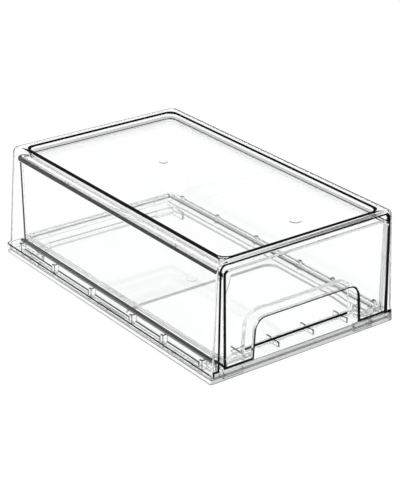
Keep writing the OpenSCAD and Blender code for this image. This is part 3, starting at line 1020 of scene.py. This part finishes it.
def clear_plastic(name, tint, waviness, scuffs, held_back, let_go):
    """Clear plastic. held_back turns caught light dark, let_go lets it pass straight on."""
    material = bpy.data.materials.new(name)
    material.use_nodes = True
    nodes, links = material.node_tree.nodes, material.node_tree.links
    nodes.clear()

    def sum_up(operation, one, two):
        """One step of arithmetic on two sockets or numbers."""
        node = nodes.new("ShaderNodeMath")
        node.operation = operation
        for slot, value in enumerate((one, two)):
            if isinstance(value, float):
                node.inputs[slot].default_value = value
            else:
                links.new(value, node.inputs[slot])
        return node.outputs["Value"]

    moulded = nodes.new("ShaderNodeGroup")
    moulded.node_tree = surface
    moulded.inputs["Waviness"].default_value = waviness
    moulded.inputs["Scuffs"].default_value = scuffs
    moulded.inputs["Tint"].default_value = (*tint, 1)
    plastic = nodes.new("ShaderNodeBsdfPrincipled")
    plastic.inputs["Transmission Weight"].default_value = 1
    plastic.inputs["IOR"].default_value = CLEAR_IOR
    for key in ("Base Color", "Roughness", "Normal"):
        links.new(moulded.outputs[key], plastic.inputs[key])

    def note(name):
        """Reads a note from the faces."""
        node = nodes.new("ShaderNodeAttribute")
        node.attribute_name = name
        return node.outputs["Fac"]

    # Painted shade for light inside the plastic: a back face met at a grazing angle is turned dark
    # by held_back.
    inside = nodes.new("ShaderNodeNewGeometry").outputs["Backfacing"]
    grazing = nodes.new("ShaderNodeFresnel")
    grazing.inputs["IOR"].default_value = CLEAR_IOR
    steep = nodes.new("ShaderNodeMapRange")
    steep.inputs["From Min"].default_value = CATCH_FROM
    links.new(grazing.outputs["Fac"], steep.inputs["Value"])
    caught = sum_up("MULTIPLY", steep.outputs["Result"], inside)
    held = sum_up("MAXIMUM", note("trap"), sum_up("MULTIPLY", caught, held_back))
    outside = sum_up("SUBTRACT", 1.0, inside)
    dark = sum_up("ADD", sum_up("MULTIPLY", held, inside),
                  sum_up("MULTIPLY", note("skin"), outside))
    dark = sum_up("MAXIMUM", dark, note("line"))

    shade = nodes.new("ShaderNodeBsdfDiffuse")
    shade.inputs["Color"].default_value = PAINTED_EDGE_SHADE
    seen = nodes.new("ShaderNodeMixShader")
    straight = nodes.new("ShaderNodeBsdfTransparent")
    freed = nodes.new("ShaderNodeMixShader")
    links.new(sum_up("MULTIPLY", caught, let_go), freed.inputs[0])
    links.new(plastic.outputs["BSDF"], freed.inputs[1])
    links.new(straight.outputs["BSDF"], freed.inputs[2])
    links.new(dark, seen.inputs[0])
    links.new(freed.outputs["Shader"], seen.inputs[1])
    links.new(shade.outputs["BSDF"], seen.inputs[2])

    path = nodes.new("ShaderNodeLightPath")
    through = nodes.new("ShaderNodeBsdfTransparent")
    through.inputs["Color"].default_value = SHADOW_TINT
    lit = nodes.new("ShaderNodeMixShader")
    links.new(path.outputs["Is Shadow Ray"], lit.inputs[0])
    links.new(seen.outputs["Shader"], lit.inputs[1])
    links.new(through.outputs["BSDF"], lit.inputs[2])
    output = nodes.new("ShaderNodeOutputMaterial")
    links.new(lit.outputs["Shader"], output.inputs["Surface"])
    return material


for piece, tint, waviness, scuffs, held_back, let_go in (
        (housing, (1.0, 1.0, 1.0), 0.03, 0.01, 0.1, 0.3),
        (base, (0.98, 0.985, 0.985), 0.05, 0.05, 0.4, 0.5),
        (drawer, (1.0, 1.0, 1.0), 0.03, 0.01, 0.1, 0.5)):
    piece.data.materials.clear()
    piece.data.materials.append(clear_plastic(piece.name, tint, waviness, scuffs, held_back,
                                              let_go))
    print("material:", piece.name)

# %% Where each finished piece belongs
for piece, body, slot, node in (
        (housing, "housing", "clear_housing", "housing_shell"),
        (base, "housing", "clear_base", "base_frame"),
        (drawer, "drawer", "clear_drawer", "drawer_tray")):
    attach(piece, body)
    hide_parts(node)
    print(f"{piece.name} rides on {body}")

# %% [markdown]
# ## Stage, light and camera
# A plain pale floor and a soft white surrounding, as in a product studio. The floor is pure white
# to the camera and through the plastic, and keeps a faint shadow of the box.

# %% Floor
bpy.ops.object.select_all(action="DESELECT")
bpy.ops.mesh.primitive_plane_add(size=20, location=(0, 0, 0))
floor = bpy.context.object
floor.name = "floor"


def white_where_seen(tree, lit, white, strength):
    """Puts pure white in front of what the camera, glass and gloss see."""
    path = tree.nodes.new("ShaderNodeLightPath")
    seen = path.outputs["Is Camera Ray"]
    for kind in ("Is Glossy Ray", "Is Transmission Ray"):
        either = tree.nodes.new("ShaderNodeMath")
        either.operation = "MAXIMUM"
        tree.links.new(seen, either.inputs[0])
        tree.links.new(path.outputs[kind], either.inputs[1])
        seen = either.outputs["Value"]
    share = tree.nodes.new("ShaderNodeMath")
    share.operation = "MULTIPLY"
    share.inputs[1].default_value = strength
    tree.links.new(seen, share.inputs[0])
    mix = tree.nodes.new("ShaderNodeMixShader")
    tree.links.new(share.outputs["Value"], mix.inputs[0])
    tree.links.new(lit, mix.inputs[1])
    tree.links.new(white, mix.inputs[2])
    return mix.outputs["Shader"]


FLOOR_PAINT = (0.9, 0.9, 0.9, 1)
FLOOR_WHITE = 1.05
FLOOR_SHARE = 0.9    # the rest of what is seen is the lit floor with the box's shadow
paint = bpy.data.materials.new("white floor")
paint.use_nodes = True
tree = paint.node_tree
tree.nodes.clear()
matt = tree.nodes.new("ShaderNodeBsdfDiffuse")
matt.inputs["Color"].default_value = FLOOR_PAINT
glow = tree.nodes.new("ShaderNodeEmission")
glow.inputs["Strength"].default_value = FLOOR_WHITE
end = tree.nodes.new("ShaderNodeOutputMaterial")
tree.links.new(white_where_seen(tree, matt.outputs["BSDF"], glow.outputs["Emission"],
                                FLOOR_SHARE), end.inputs["Surface"])
floor.data.materials.append(paint)
print("floor:", floor.name)

# %% Surroundings and lamp
world = bpy.data.worlds.new("studio")
bpy.context.scene.world = world
world.use_nodes = True
tree = world.node_tree
soft = tree.nodes["Background"]
soft.inputs["Color"].default_value = (1, 1, 1, 1)
soft.inputs["Strength"].default_value = 0.8
white = tree.nodes.new("ShaderNodeBackground")
white.inputs["Color"].default_value = (1, 1, 1, 1)
tree.links.new(white_where_seen(tree, soft.outputs["Background"], white.outputs["Background"],
                                1.0), tree.nodes["World Output"].inputs["Surface"])

lamp_data = bpy.data.lights.new("soft box", "AREA")
lamp_data.shape = "SQUARE"
lamp_data.size = 1.2
lamp_data.energy = 12
lamp = bpy.data.objects.new("soft box", lamp_data)
bpy.context.scene.collection.objects.link(lamp)
lamp.location = (-0.9, 0.6, 1.6)
lamp.rotation_mode = "QUATERNION"
lamp.rotation_quaternion = (-lamp.location).to_track_quat("-Z", "Y")
lamp.visible_glossy = False
lamp.visible_transmission = False
print(f"lamp: {lamp_data.energy:.0f} W, {lamp_data.size:.1f} m wide")

# %% Camera
AZIMUTH, ELEVATION, ROLL_ANGLE = -36.40, 24.69, 0.03
DISTANCE = 1.54342
TARGET = Vector((-0.02444, -0.04766, 0.06309))
LENS = 120.44

around, up = math.radians(AZIMUTH), math.radians(ELEVATION)
back = Vector((math.sin(around) * math.cos(up), -math.cos(around) * math.cos(up), math.sin(up)))
camera_data = bpy.data.cameras.new("camera")
camera_data.sensor_width = 36
camera_data.lens = LENS
camera = bpy.data.objects.new("camera", camera_data)
bpy.context.scene.collection.objects.link(camera)
camera.location = TARGET + back * DISTANCE
camera.rotation_mode = "QUATERNION"
turn = Quaternion((0, 0, 1), math.radians(ROLL_ANGLE))
camera.rotation_quaternion = (-back).to_track_quat("-Z", "Y") @ turn
bpy.context.scene.camera = camera

scene = bpy.context.scene
scene.view_settings.view_transform = "Standard"
scene.cycles.max_bounces = 40
scene.cycles.transmission_bounces = 40
scene.cycles.glossy_bounces = 16
scene.cycles.transparent_max_bounces = 16
print(f"camera: {DISTANCE:.2f} m away, {LENS:.0f} mm lens")
